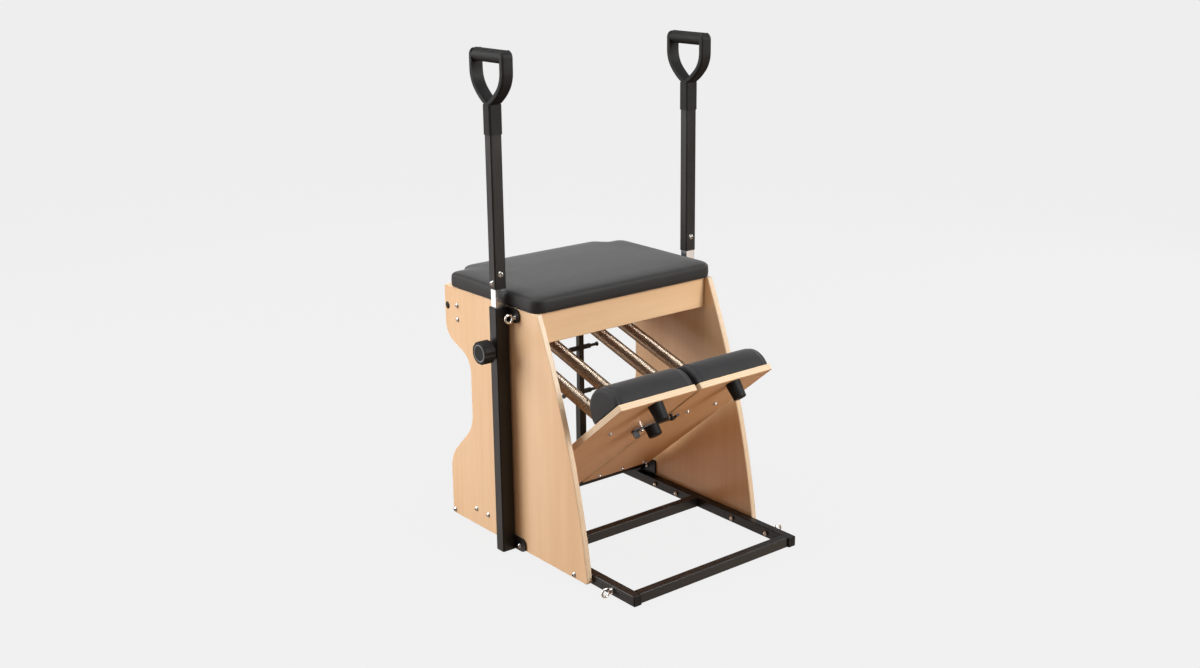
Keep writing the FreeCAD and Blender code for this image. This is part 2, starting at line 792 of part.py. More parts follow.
def make_hinge():
    axle_end = panel_inner - bracket_plate / 2
    axle = rod(V(-axle_end, hinge_y, hinge_z), X, hinge_axle_radius, 2 * axle_end)
    save("hinge_axle", axle)
    half = bracket_length / 2
    plate = box(panel_inner - bracket_plate, panel_inner, hinge_y - half, hinge_y + half,
                bracket_bottom, bracket_bottom + bracket_height)
    corners = [edge for edge in plate.Edges if edge.BoundBox.XLength > bracket_plate / 2]
    plate = plate.makeFillet(bracket_corner_radius, corners)
    boss_start = pedal_outer + bracket_side_gap
    boss = rod(V(boss_start, hinge_y, hinge_z), X, bracket_boss_radius, panel_inner - boss_start)
    bracket = drilled(joined([plate, boss]), [cross_hole(y, hinge_z) for y in bracket_bolt_places()])
    socket = rod(V(boss_start, hinge_y, hinge_z), X, hinge_axle_radius + nut_bore_clearance,
                 axle_end - boss_start + nut_bore_clearance)
    save_pair("hinge_bracket", bracket.cut(socket))


def tilted(shape):
    """Take a pedal piece drawn level about the hinge axis to its place at the raised angle."""
    moved = shape.copy()
    moved.rotate(ORIGIN, X, -pedal_angle)
    moved.translate(V(0, hinge_y, hinge_z))
    return moved


def hinge_bolt_places():
    """Side and reach of each bolt through a hinge leaf."""
    pitch = pedal_width / hinge_bolt_count
    return [(pedal_half_gap + pitch * (index + 0.5), hinge_bolt_reach) for index in range(hinge_bolt_count)]


def spring_bolt_places():
    """Side and reach of each bolt into a spring bracket, the inner one first."""
    return [(side, spring_bracket_reach) for side in spring_sides]


def pedal_holes():
    depth = board_thickness + leaf_thickness + 2 * overrun
    places = hinge_bolt_places() + spring_bolt_places()
    return [(V(side, -reach, board_bottom - overrun), Z, depth) for side, reach in places]


def pedal_bolt(side, reach, grip_length):
    """Bolt from under the board, its shank going grip_length above the board's top."""
    screw = bolt(board_thickness + grip_length - hole_clearance)
    return tilted(placed(screw, V(side, -reach, board_bottom), -Z))


def make_pedals():
    board = box(pedal_half_gap, pedal_outer, -pedal_reach, -pedal_heel, board_bottom, board_top)
    corners = [edge for edge in board.Edges if edge.BoundBox.ZLength > board_thickness / 2]
    board = board.makeFillet(board_corner_radius, corners)
    rims = [edge for edge in board.Edges if edge.BoundBox.ZLength < board_edge_chamfer]
    board = drilled(board.makeChamfer(board_edge_chamfer, rims), pedal_holes())
    stud = (V(lock_stud_side(), -lock_stud_line(), board_bottom), Z, board_thickness)
    slot = bar(slot_length, slot_width, slot_width / 3, board_thickness)
    slot.translate(V(pedal_outer - slot_side_inset, slot_setback - pedal_reach, board_bottom))
    save("right_pedal_board", tilted(drilled(board.cut(slot), [stud], lock_stud_radius + hole_clearance)))
    save("left_pedal_board", mirrored(tilted(board)))
    save_pair("pedal_pad", tilted(pedal_pad()))
    save_pair("bumper", tilted(bumper()))
    save_pair("hinge_leaf", tilted(hinge_leaf()))
    bush = hinge_bush()
    opposite = bush.mirror(V(pedal_centre, 0, 0), X)
    save("right_hinge_bushes", *[tilted(piece) for piece in (bush, opposite)])
    save("left_hinge_bushes", *[mirrored(tilted(piece)) for piece in (bush, opposite)])
    screws = []
    for side, reach in hinge_bolt_places():
        screws.append(pedal_bolt(side, reach, leaf_thickness + nut_height))
        screws.append(tilted(placed(nut(), V(side, -reach, board_top + leaf_thickness), Z)))
    for side, reach in reversed(spring_bolt_places()):
        screws.append(pedal_bolt(side, reach, spring_bracket_plate))
    save("right_pedal_bolts", *screws)
    # On the left the lock's pivot bolt stands in for the inner spring bolt.
    save("left_pedal_bolts", *[mirrored(screw) for screw in screws[:-1]])
    brackets = [tilted(spring_bracket(side)) for side in spring_sides]
    save("right_spring_brackets", *brackets)
    save("left_spring_brackets", *[mirrored(piece) for piece in brackets])


def pad_section(x, inset):
    """Half-round section with short upright walls, drawn in by inset at the ends."""
    near = pad_inset - pedal_reach + inset
    far = near + pad_length - 2 * inset
    wall = board_top + pad_wall_height
    crown = board_top + pad_rise - inset
    middle = V(x, (near + far) / 2, crown)
    corners = [V(x, near, board_top), V(x, near, wall), V(x, far, wall), V(x, far, board_top)]
    edges = [line(corners[0], corners[1])]
    edges += biarc(corners[1], Z, middle, Y) + biarc(middle, Y, corners[2], -Z)
    edges += [line(corners[2], corners[3]), line(corners[3], corners[0])]
    return Part.Wire(edges)


def pedal_pad():
    """Straight roll whose two ends are rounded over."""
    inner = []
    outer = []
    for step in range(pad_roll_steps + 1):
        angle = math.pi / 2 * step / pad_roll_steps
        advance = pad_end_roll * (1 - math.cos(angle))
        inset = pad_end_roll * (1 - math.sin(angle))
        inner.append(pad_section(pedal_half_gap + advance, inset))
        outer.append(pad_section(pedal_outer - advance, inset))
    ends = [Part.makeLoft(wires, True, False) for wires in (inner, outer)]
    return joined(ends + [Part.makeLoft([inner[-1], outer[-1]], True, True)])


def bumper():
    body = Part.makeCone(bumper_radius, bumper_tip_radius, bumper_length)
    rim = [edge for edge in body.Edges if len(edge.Vertexes) == 1 and edge.BoundBox.ZMin > bumper_edge]
    body = body.makeFillet(bumper_edge, rim)
    return placed(body, V(pedal_centre, bumper_setback - pedal_reach, board_bottom), -Z)


def hinge_leaf():
    """Tube about the axle with a flat leaf that lies on the board."""
    barrel = rod(V(pedal_half_gap + bush_flange, 0, 0), X, hinge_tube_radius, pedal_width - 2 * bush_flange)
    leaf = box(pedal_half_gap + bush_flange, pedal_outer - bush_flange, -leaf_length, 0,
               board_top, board_top + leaf_thickness)
    bore = rod(V(0, 0, 0), X, hinge_axle_radius + running_clearance + bush_wall, pedal_outer)
    return drilled(joined([barrel, leaf]).cut(bore), pedal_holes())


def hinge_bush():
    bore_radius = hinge_axle_radius + running_clearance
    start = V(pedal_half_gap, 0, 0)
    sleeve = rod(start, X, bore_radius + bush_wall, bush_length)
    flange = rod(start, X, hinge_tube_radius, bush_flange)
    return joined([sleeve, flange]).cut(rod(start, X, bore_radius, bush_length))


def spring_bracket(side):
    """U bracket on the board with a riveted cross pin along X."""
    gap = spring_bracket_gap / 2
    outside = gap + spring_bracket_plate
    half = spring_bracket_length / 2
    floor = box(-outside, outside, -half, half, 0, spring_bracket_plate)
    eye_radius = spring_pin_radius + spring_bracket_plate
    pieces = [floor]
    for start in (-outside, gap):
        cheek = box(start, start + spring_bracket_plate, -half, half, 0, spring_pin_height + eye_radius)
        ears = [edge for edge in cheek.Edges if edge.BoundBox.XLength > spring_bracket_plate / 2
                and edge.BoundBox.ZMin > spring_pin_height]
        pieces.append(cheek.makeFillet(eye_radius, ears))
    pieces.append(rod(V(-outside, 0, spring_pin_height), X, spring_pin_radius, 2 * outside))
    bracket = drilled(joined(pieces), [(ORIGIN, Z, spring_bracket_plate)])
    bracket.translate(V(side, -spring_bracket_reach, board_top))
    return bracket


def pin_point():
    """Front spring pin in the raised pedal, on the plane x = 0."""
    angle = math.radians(pedal_angle)
    reach = spring_bracket_reach
    rise = board_top + spring_pin_height
    return V(0, hinge_y - reach * math.cos(angle) + rise * math.sin(angle),
             hinge_z + reach * math.sin(angle) + rise * math.cos(angle))


def tree_peg_heights():
    return [tree_top_peg_z - level * tree_peg_pitch for level in range(tree_peg_levels)]


def spring_tree():
    """Slim post on a wider socket tube, with stepped pegs to both sides at each level."""
    post = tube(tree_post_size, tree_post_size, tree_corner, tree_wall, tree_top - tree_socket_top)
    post.translate(V(0, 0, tree_socket_top))
    socket = tube(tree_socket_size, tree_socket_size, tree_corner, tree_wall, tree_socket_top - tube_height)
    socket.translate(V(0, 0, tube_height))
    collar = bar(tree_socket_size, tree_socket_size, tree_corner, tree_wall)
    collar.translate(V(0, 0, tree_socket_top - tree_wall))
    pieces = [post, socket, collar]
    face = tree_post_size / 2
    for z in tree_peg_heights():
        for sign in (-1, 1):
            start = V(sign * (face - tree_wall / 2), 0, z)
            pieces.append(rod(start, X * sign, tree_sleeve_radius, tree_sleeve_reach - start.x * sign))
            pieces.append(rod(start, X * sign, spring_pin_radius, tree_peg_reach - start.x * sign))
            pieces.append(rod(V(sign * tree_peg_reach, 0, z), X * sign, tree_head_radius, tree_head_height))
    tree = joined(pieces)
    holes = [(V(0, face, z), -Y, tree_post_size) for z in (tree_bolt_lower_z, tree_bolt_upper_z)]
    tree = drilled(tree, holes)
    tree.translate(V(pedal_centre, tree_y, 0))
    return tree


def coil_start(inner, slack):
    """Distance from a pin's axis to the first turn of the coil."""
    return slack + inner + loop_wire_radius + loop_neck_length + loop_flange_height


def loop_end(inner, slack):
    """Eye about the origin's X axis, then a neck and a flange that the coil ends on."""
    start = slack + inner + loop_wire_radius
    neck = rod(V(0, 0, start), Z, loop_neck_radius, loop_neck_length + loop_flange_height)
    flange = rod(V(0, 0, start + loop_neck_length), Z, spring_outer_radius, loop_flange_height)
    return joined([eye(inner, slack), neck, flange])


def eye(inner, slack):
    """Ring of round wire, lengthened by slack both ways along Z."""
    middle = inner + loop_wire_radius
    ring = Part.makeTorus(middle, loop_wire_radius, ORIGIN, X)
    if not slack:
        return ring
    far = 2 * middle
    upper = ring.common(box(-far, far, -far, far, 0, far))
    lower = ring.common(box(-far, far, -far, far, -far, 0))
    upper.translate(V(0, 0, slack))
    lower.translate(V(0, 0, -slack))
    legs = [rod(V(0, sign * middle, -slack), Z, loop_wire_radius, 2 * slack) for sign in (-1, 1)]
    return joined([upper, lower] + legs)


def helix_point(turn, rise, start):
    angle = 2 * math.pi * turn
    point = V(coil_radius * math.cos(angle), coil_radius * math.sin(angle), start + rise * turn)
    slope = rise / (2 * math.pi)
    tangent = V(-coil_radius * math.sin(angle), coil_radius * math.cos(angle), slope)
    tangent.normalize()
    return point, tangent


def coil_path(length):
    """Helix in quarter turns, with straight ends square to both flanges."""
    lead = spring_lead_turn
    straight = spring_wire
    free = length - 2 * straight
    rise = free / spring_turns
    first = V(coil_radius, 0, straight)
    edges = [line(V(coil_radius, 0, 0), first)]
    turn = lead
    point, tangent = helix_point(turn, rise, straight)
    edges += biarc(first, Z, point, tangent)
    steps = round((spring_turns - 2 * lead) * 4)
    for step in range(steps):
        turn = lead + (step + 1) / 4
        beyond, ahead = helix_point(turn, rise, straight)
        edges += biarc(point, tangent, beyond, ahead)
        point, tangent = beyond, ahead
    last, last_tangent = helix_point(spring_turns, rise, straight)
    edges += biarc(point, tangent, last, Z)
    edges.append(line(last, last + Z * straight))
    return Part.Wire(edges)


def least_self_gap(path, wire):
    """Least clear distance between stretches of the path that are not neighbours along it."""
    spacing = wire / 2
    points = path.discretize(Distance=spacing)
    apart = int(2 * math.pi * wire / spacing)
    least = min(points[i].distanceToPoint(points[j])
                for i in range(len(points)) for j in range(i + apart, min(i + 4 * apart, len(points))))
    return least - wire


def make_springs():
    save_pair("spring_tree", spring_tree())
    rear = V(0, tree_y, tree_top_peg_z)
    front_pin = pin_point()
    direction = front_pin - rear
    length = direction.Length
    direction.normalize()
    rear_loop = (spring_pin_radius + loop_clearance, 0)
    front_loop = (spring_pin_radius + front_loop_clearance, front_loop_slack)
    path = coil_path(length - coil_start(*rear_loop) - coil_start(*front_loop))
    print("least gap between spring turns", round(least_self_gap(path, spring_wire), 2))
    profile = Part.Wire(Part.makeCircle(spring_wire / 2, V(coil_radius, 0, 0), Z))
    coil = path.makePipeShell([profile], True, False)
    tilt = 90 + math.degrees(math.asin(-direction.z))
    rear_ends = []
    front_ends = []
    coils = []
    for side in spring_sides:
        rear_ends.append(swung(loop_end(*rear_loop), tilt, V(side, rear.y, rear.z)))
        front_ends.append(swung(loop_end(*front_loop), tilt - 180, V(side, front_pin.y, front_pin.z)))
        coils.append(swung(coil, tilt, V(side, rear.y, rear.z) + direction * coil_start(*rear_loop)))
    groups = {"spring_rear_ends": rear_ends, "spring_front_ends": front_ends, "springs": coils}
    for name, pieces in groups.items():
        save("right_" + name, *pieces)
        save("left_" + name, *[mirrored(piece) for piece in pieces])


def swung(shape, angle, base):
    moved = shape.copy()
    moved.rotate(ORIGIN, X, angle)
    moved.translate(base)
    return moved


def lock_stud_side():
    return lock_stud_reach * math.cos(math.radians(lock_tilt)) - lock_pivot_side


def lock_stud_line():
    """Distance of the keeper stud from the hinge axis."""
    return lock_pivot_reach + lock_stud_reach * math.sin(math.radians(lock_tilt))


def under_board(shape, side, reach, turn=0.0):
    """Take a lock piece drawn downward along -Z from the board's underside to its place."""
    moved = shape.copy()
    moved.rotate(ORIGIN, Z, turn)
    moved.translate(V(side, -reach, board_bottom))
    return tilted(moved)


def make_lock():
    """Swing bar on the left board that hooks over a headed stud on the right board."""
    place = (-lock_pivot_side, lock_pivot_reach, -lock_tilt)
    save("lock_bar", under_board(lock_bar(), *place))
    knob = Part.makeCone(lock_knob_tip_radius, lock_knob_radius, lock_knob_length)
    rims = [edge for edge in knob.Edges if edge.BoundBox.ZLength < lock_knob_edge]
    knob = knob.makeFillet(lock_knob_edge, rims)
    knob.translate(V(lock_knob_reach, 0, -lock_depth - lock_knob_length))
    screw = rod(V(lock_knob_reach, 0, -lock_depth), Z, shank_radius, lock_bar_plate)
    save("lock_knob", under_board(joined([knob, screw]), *place))
    washer = rod(V(0, 0, -lock_stand_off), Z, head_radius, lock_stand_off)
    washer = drilled(washer, [(V(0, 0, -lock_stand_off), Z, lock_stand_off)])
    head_z = -lock_depth - lock_head_gap
    pivot = bolt(board_thickness + spring_bracket_plate - hole_clearance - head_z)
    pivot = placed(pivot, V(0, 0, head_z), -Z)
    save("lock_pivot_bolt", under_board(pivot, *place), under_board(washer, *place))
    neck = rod(V(0, 0, head_z), Z, lock_stud_radius, board_thickness - head_z)
    button = rod(V(0, 0, head_z), -Z, lock_stud_head_radius, lock_head_height)
    save("keeper_stud", under_board(joined([neck, button]), lock_stud_side(), lock_stud_line()))


def lock_bar():
    """Flat bar with a thumb tab bent down near its tail, an eye open to the front and a pointed tip."""
    half = lock_bar_width / 2
    low = -lock_depth
    arm = box(-lock_tail, lock_stud_reach, -half, half, low, low + lock_bar_plate)
    tab_start = lock_tab_inset - lock_tail
    tab = box(tab_start, tab_start + lock_tab_width, half - lock_tab_plate, half, low - lock_tab_drop, low)
    feet = [edge for edge in tab.Edges
            if edge.BoundBox.YLength > lock_tab_plate / 2 and edge.BoundBox.ZMax < low]
    tab = tab.makeFillet(lock_tab_width / 3, feet)
    slot_radius = lock_stud_radius + lock_slot_clearance
    eye_radius = slot_radius + lock_eye_wall
    hook = rod(V(lock_stud_reach, 0, low), Z, eye_radius, lock_bar_plate)
    corners = [V(lock_stud_reach, eye_radius, low), V(lock_stud_reach + eye_radius, 0, low),
               V(lock_tip_reach, -eye_radius, low), V(lock_stud_reach, -eye_radius, low)]
    tip = Part.Face(Part.makePolygon(corners + corners[:1])).extrude(Z * lock_bar_plate)
    slot = rod(V(lock_stud_reach, 0, low), Z, slot_radius, lock_bar_plate)
    mouth = box(lock_stud_reach - slot_radius, lock_stud_reach + slot_radius, -2 * eye_radius, 0,
                low, low + lock_bar_plate)
    pivot = rod(V(0, 0, low), Z, shank_radius + running_clearance, lock_bar_plate)
    hole = (V(lock_knob_reach, 0, low), Z, lock_bar_plate)
    return drilled(joined([arm, tab, hook, tip]).cut([slot, mouth, pivot]), [hole])


os.makedirs("parts", exist_ok=True)
make_base()
make_cabinet()
make_cushion()
make_fasteners()
make_masts()
make_hinge()
make_pedals()
make_springs()
make_lock()
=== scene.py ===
import bpy
import json
import math
from mathutils import Matrix, Vector


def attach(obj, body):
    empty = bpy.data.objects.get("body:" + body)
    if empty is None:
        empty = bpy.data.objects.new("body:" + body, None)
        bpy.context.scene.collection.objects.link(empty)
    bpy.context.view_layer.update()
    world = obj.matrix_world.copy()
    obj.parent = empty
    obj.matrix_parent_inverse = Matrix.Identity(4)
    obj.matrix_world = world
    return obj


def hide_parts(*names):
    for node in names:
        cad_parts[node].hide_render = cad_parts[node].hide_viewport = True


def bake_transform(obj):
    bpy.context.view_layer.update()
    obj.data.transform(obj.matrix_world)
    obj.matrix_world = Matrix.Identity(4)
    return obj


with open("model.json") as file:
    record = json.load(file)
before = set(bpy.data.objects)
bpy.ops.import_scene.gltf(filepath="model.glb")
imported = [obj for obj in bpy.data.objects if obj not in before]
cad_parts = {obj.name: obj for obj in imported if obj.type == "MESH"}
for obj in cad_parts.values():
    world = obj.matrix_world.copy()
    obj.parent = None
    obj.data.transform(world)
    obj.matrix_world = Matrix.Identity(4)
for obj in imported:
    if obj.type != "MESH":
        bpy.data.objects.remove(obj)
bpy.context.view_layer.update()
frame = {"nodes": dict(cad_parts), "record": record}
nodes = frame["nodes"]
SIDES = (("left", -1.0), ("right", 1.0))

# Camera, in the row frame: solved once from the straight edges of the object
CAMERA_PLACE = Vector((-2.1146, -2.5870, 1.4893))
CAMERA_AZIMUTH = math.radians(-38.4749)
CAMERA_ELEVATION = math.radians(16.5575)
CAMERA_ROLL = math.radians(-0.6719)
CAMERA_LENS = 44.241
CAMERA_SENSOR = 36.0
CAMERA_REACH = 200.0

# Stage: a floor that rises into a dome, and a world whose stops go from straight down to straight up
FLOOR_REACH = 60.0
DOME_RINGS = 12
DOME_SIDES = 48
STAGE_GLOW = 0.850
WARM_FLOOR = (1.0, 0.86, 0.72)
WORLD_STOPS = ((0.0, (0.44, 0.195, 0.070)), (0.44, (0.28, 0.125, 0.045)), (0.53, (0.20, 0.20, 0.20)),
               (1.0, (0.30, 0.30, 0.30)))
GLOSSY_NEUTRAL = 0.65
GLOSSY_GREY = (0.20, 0.195, 0.19, 1.0)

# Pedal, in metres as all sizes below, shared with the solids
PEDAL_TILT = math.radians(39.5)
HINGE = Vector((0.0, 0.211, 0.045))
PEDAL_LIFT = Matrix.Translation(HINGE) @ Matrix.Rotation(-PEDAL_TILT, 4, "X")
BOARD_TOP = -0.0017
BOARD_UNDER = -0.0167
PLY_PITCH = 0.0050

# Springs
REAR_PEG = Vector((0.0, 0.305, 0.488))
SPRING_SIDES = (0.073, 0.161)
COIL_RADIUS = 0.01425
COIL_WIRE = 0.0015
ACROSS = Vector((1.0, 0.0, 0.0))
SPRING_REACH = 0.466
SPRING_RISE = 0.0188
FRONT_PIN = HINGE + Vector((0.0, SPRING_RISE * math.sin(PEDAL_TILT) - SPRING_REACH * math.cos(PEDAL_TILT),
                            SPRING_RISE * math.cos(PEDAL_TILT) + SPRING_REACH * math.sin(PEDAL_TILT)))
REAR_COIL_START = 0.0184
FRONT_COIL_START = 0.0249
COIL_TURNS = 130
COIL_STEPS = 20
COIL_WIRE_SIDES = 8

# Cloth
CLOTH_PRESSURE = 4.0
CLOTH_FRAMES = 20
EASING_STEPS = 10
ROLL_STEPS = 4

# Seat cushion
SEAT_TOP = 0.597
CUSHION_HALF = 0.268
CUSHION_FRONT = -0.036
CUSHION_SHOULDER = 0.318
CUSHION_REAR = 0.350
CUSHION_BACK_HALF = 0.195
CUSHION_STEP_WIDTH = 0.036
CUSHION_STEP_COUNT = 10
CUSHION_FRONT_RADIUS = 0.030
CUSHION_REAR_RADIUS = 0.018
CUSHION_LEAST_RADIUS = 0.004
CUSHION_SIDE = 0.027
CUSHION_DRAW = 0.001
CUSHION_HEM = 0.003
CUSHION_ROLL = 0.006
CUSHION_CROWN = 0.004
CUSHION_CROWN_SHARE = 0.6
CUSHION_CROWN_START = 0.040
CUSHION_CROWN_END = 0.110
CUSHION_SWELL = Vector((0.0013, 0.002, 0.0035))
CUSHION_VOXEL = 0.0045
CORNER_STEPS = 8

# Pedal pads, in the level pedal frame, measured from the hinge axis
PAD_INNER = 0.006
PAD_OUTER = 0.228
PAD_NEAR = -0.624
PAD_LENGTH = 0.112
PAD_WALL = 0.008
PAD_RISE = 0.063
PAD_END_ROLL = 0.009
PAD_STEPS = 28
PAD_SWELL = Vector((0.001, 0.0025, 0.0025))
PAD_VOXEL = 0.004
PAD_SEAM = 0.010
SEAM_DEPTH = 0.0022
SEAM_WIDTH = 0.0032

# Domed screws
PANEL_FACE = 0.265
FOOT_HEIGHT = 0.012
FOOT_BOLTS = (-0.155, 0.134, 0.333)
HINGE_BOLTS = (0.186, 0.236)
RAIL_BOLTS = 0.2885
RAIL_BOLT_HEIGHTS = (0.518, 0.553)
POST_TAB_FACE = 0.270
POST_TAB_BOLT = 0.052
TREE_SIDE = 0.117
TREE_FACE = 0.3125
TREE_BOLT_HEIGHTS = (0.520, 0.560)
HANDLE_SIDE_BOLT = (0.30305, 0.081, 0.655)
HANDLE_FRONT_BOLT = (0.2875, 0.0687, 0.675)
LEAF_BOLT_SIDES = (0.043, 0.117, 0.191)
LEAF_BOLT_REACH = 0.081
LOCK_HEAD_DEPTH = 0.0115
HEAD_HEIGHT = 0.004
SOCKET_SIDES = 24
# Radius and height from the crown of the ring about a screw's hexagon socket, outside first
SOCKET_LIP = ((0.0040, -0.0014), (0.0036, 0.0001), (0.0031, 0.0004))
SOCKET_HEXAGON = 0.0029
SOCKET_FLOOR = 0.0001

# Pull knobs
KNOB_FACE = Vector((0.3453, 0.081, 0.498))
# Section of the pale ring laid in the groove of a knob's face: radius and height from the face
KNOB_RING = ((0.0176, -0.0010), (0.0176, -0.0002), (0.0182, 0.0), (0.0198, 0.0), (0.0204, -0.0002),
             (0.0204, -0.0010))
KNOB_RING_SIDES = 72


def set_camera():
    data = bpy.data.cameras.new("camera")
    data.lens = CAMERA_LENS
    data.sensor_width = CAMERA_SENSOR
    data.clip_end = CAMERA_REACH
    camera = bpy.data.objects.new("camera", data)
    bpy.context.scene.collection.objects.link(camera)
    sin_a, cos_a = math.sin(CAMERA_AZIMUTH), math.cos(CAMERA_AZIMUTH)
    sin_e, cos_e = math.sin(CAMERA_ELEVATION), math.cos(CAMERA_ELEVATION)
    sin_r, cos_r = math.sin(CAMERA_ROLL), math.cos(CAMERA_ROLL)
    back = Vector((sin_a * cos_e, -cos_a * cos_e, sin_e))
    level = Vector((cos_a, sin_a, 0.0))
    rise = back.cross(level)
    right = level * cos_r + rise * sin_r
    up = rise * cos_r - level * sin_r
    turn = Matrix((right, up, back)).transposed().to_4x4()
    camera.matrix_world = Matrix.Translation(CAMERA_PLACE) @ turn
    bpy.context.scene.camera = camera


class Shader:
    """A material under construction: a Principled surface and short ways to add nodes to it."""

    def __init__(self, name, **values):
        self.material = bpy.data.materials.new(name)
        self.material.use_nodes = True
        self.tree = self.material.node_tree
        self.surface = self.tree.nodes["Principled BSDF"]
        for socket, value in values.items():
            self.surface.inputs[socket.replace("_", " ")].default_value = value

    def node(self, kind, inputs=None, **settings):
        node = self.tree.nodes.new(kind)
        for key, value in settings.items():
            setattr(node, key, value)
        for key, value in (inputs or {}).items():
            self.put(node.inputs[key], value)
        return node

    def put(self, socket, value):
        if isinstance(value, bpy.types.NodeSocket):
            self.tree.links.new(value, socket)
        else:
            socket.default_value = value

    def set(self, socket, value):
        self.put(self.surface.inputs[socket], value)

    def place(self, turn=0.0, scale=(1.0, 1.0, 1.0)):
        """Object position, turned about X, then stretched."""
        found = self.node("ShaderNodeTexCoord").outputs["Object"]
        turned = self.turned(found, turn)
        return self.stretched(turned, scale)

    def turned(self, vector, turn):
        if not turn:
            return vector
        settings = {"Vector": vector, "Angle": turn}
        return self.node("ShaderNodeVectorRotate", settings, rotation_type="X_AXIS").outputs[0]

    def stretched(self, vector, scale):
        return self.node("ShaderNodeMapping", {"Vector": vector, "Scale": scale}).outputs[0]

    def facing(self, turn=0.0):
        found = self.node("ShaderNodeTexCoord").outputs["Normal"]
        return self.node("ShaderNodeSeparateXYZ", {0: self.turned(found, turn)}).outputs

    def noise(self, vector, scale, detail=3.0, roughness=0.55):
        values = {"Vector": vector, "Scale": scale, "Detail": detail, "Roughness": roughness}
        return self.node("ShaderNodeTexNoise", values).outputs[0]

    def cells(self, vector, scale):
        return self.node("ShaderNodeTexVoronoi", {"Vector": vector, "Scale": scale}).outputs["Distance"]

    def math(self, operation, first, second=0.0):
        return self.node("ShaderNodeMath", {0: first, 1: second}, operation=operation).outputs[0]

    def ramp(self, factor, *stops):
        """Colours or grey levels at places from 0 to 1."""
        node = self.node("ShaderNodeValToRGB", {"Fac": factor})
        elements = node.color_ramp.elements
        while len(elements) < len(stops):
            elements.new(0.5)
        for element, (place, colour) in zip(elements, stops):
            element.position = place
            if isinstance(colour, (int, float)):
                colour = (colour, colour, colour)
            element.color = (*colour, 1.0)
        return node.outputs[0]

    def mix(self, factor, first, second):
        node = self.node("ShaderNodeMix", {"Factor": factor}, data_type="RGBA")
        for index, value in ((6, first), (7, second)):
            if isinstance(value, tuple):
                value = (*value, 1.0)
            self.put(node.inputs[index], value)
        return node.outputs[2]

    def bump(self, height, strength, distance):
        values = {"Height": height, "Strength": strength, "Distance": distance}
        self.set("Normal", self.node("ShaderNodeBump", values).outputs[0])


def plywood(name, thickness_axis, grain_axis, turn=0.0):
    """Lacquered pale hardwood ply: clouded veneer on the faces, faint bands of plies on the cream edges."""
    shader = Shader(name, Coat_Weight=0.12, Coat_Roughness=0.28)
    streak_scale = [95.0, 95.0, 95.0]
    streak_scale[grain_axis] = 2.6
    broad = [11.0, 11.0, 11.0]
    broad[grain_axis] = 1.3
    fleck_scale = [520.0, 520.0, 520.0]
    fleck_scale[grain_axis] = 46.0
    streaks = shader.noise(shader.place(turn, streak_scale), 1.0, 4.0, 0.55)
    cloud = shader.noise(shader.place(turn, broad), 1.0, 3.0, 0.5)
    pores = shader.noise(shader.place(turn, fleck_scale), 1.0, 2.0, 0.6)
    veneer = shader.ramp(cloud, (0.25, (0.655, 0.415, 0.222)), (0.5, (0.715, 0.478, 0.272)),
                         (0.78, (0.760, 0.536, 0.325)))
    veneer = shader.mix(shader.ramp(streaks, (0.42, 0.0), (0.78, 0.26)), veneer, (0.585, 0.338, 0.165))
    veneer = shader.mix(shader.ramp(pores, (0.62, 0.0), (0.74, 0.14)), veneer, (0.420, 0.225, 0.105))
    depth = shader.node("ShaderNodeSeparateXYZ", {0: shader.place(turn)}).outputs[thickness_axis]
    waver = shader.math("MULTIPLY", shader.noise(shader.place(turn, (14.0, 14.0, 14.0)), 1.0), 0.0009)
    wavy_depth = shader.math("ADD", depth, waver)
    plies = shader.math("SINE", shader.math("MULTIPLY", wavy_depth, 2.0 * math.pi / PLY_PITCH))
    edge_streak = shader.noise(shader.place(turn, (420.0, 420.0, 420.0)), 1.0, 2.0, 0.6)
    edge = shader.ramp(shader.math("MULTIPLY_ADD", plies, 0.5), (0.0, (0.545, 0.395, 0.245)),
                       (0.35, (0.615, 0.465, 0.305)), (1.0, (0.645, 0.500, 0.345)))
    edge = shader.mix(shader.ramp(edge_streak, (0.50, 0.0), (0.80, 0.16)), edge, (0.540, 0.360, 0.200))
    slope = shader.math("ABSOLUTE", shader.facing(turn)[thickness_axis])
    on_face = shader.ramp(slope, (0.55, 0.0), (0.8, 1.0))
    shader.set("Base Color", shader.mix(on_face, edge, veneer))
    shader.set("Roughness", shader.ramp(streaks, (0.3, 0.40), (0.8, 0.52)))
    shader.bump(shader.mix(0.5, streaks, pores), 0.08, 0.0004)
    return shader.material


def powder_coat(name):
    """Satin black paint with a faint orange peel."""
    shader = Shader(name, Specular_IOR_Level=0.36)
    orange_peel = shader.noise(shader.place(), 900.0, 3.0, 0.6)
    cloud = shader.noise(shader.place(), 14.0, 3.0, 0.6)
    paint = shader.ramp(cloud, (0.3, (0.0075, 0.0066, 0.0062)), (0.75, (0.0125, 0.0112, 0.0106)))
    shader.set("Base Color", paint)
    shader.set("Roughness", shader.ramp(cloud, (0.3, 0.34), (0.75, 0.44)))
    shader.bump(orange_peel, 0.14, 0.0004)
    return shader.material


def moulded(name, dark, light, low, high, grain):
    """Black plastic or rubber with a fine moulded texture, also used for the painted shade inside screw
    sockets.
    """
    shader = Shader(name, Specular_IOR_Level=0.22)
    fine = shader.noise(shader.place(), grain, 4.0, 0.65)
    cloud = shader.noise(shader.place(), 35.0, 2.0, 0.5)
    shader.set("Base Color", shader.ramp(cloud, (0.3, dark), (0.75, light)))
    shader.set("Roughness", shader.ramp(fine, (0.3, low), (0.7, high)))
    shader.bump(fine, 0.22, 0.0003)
    return shader.material


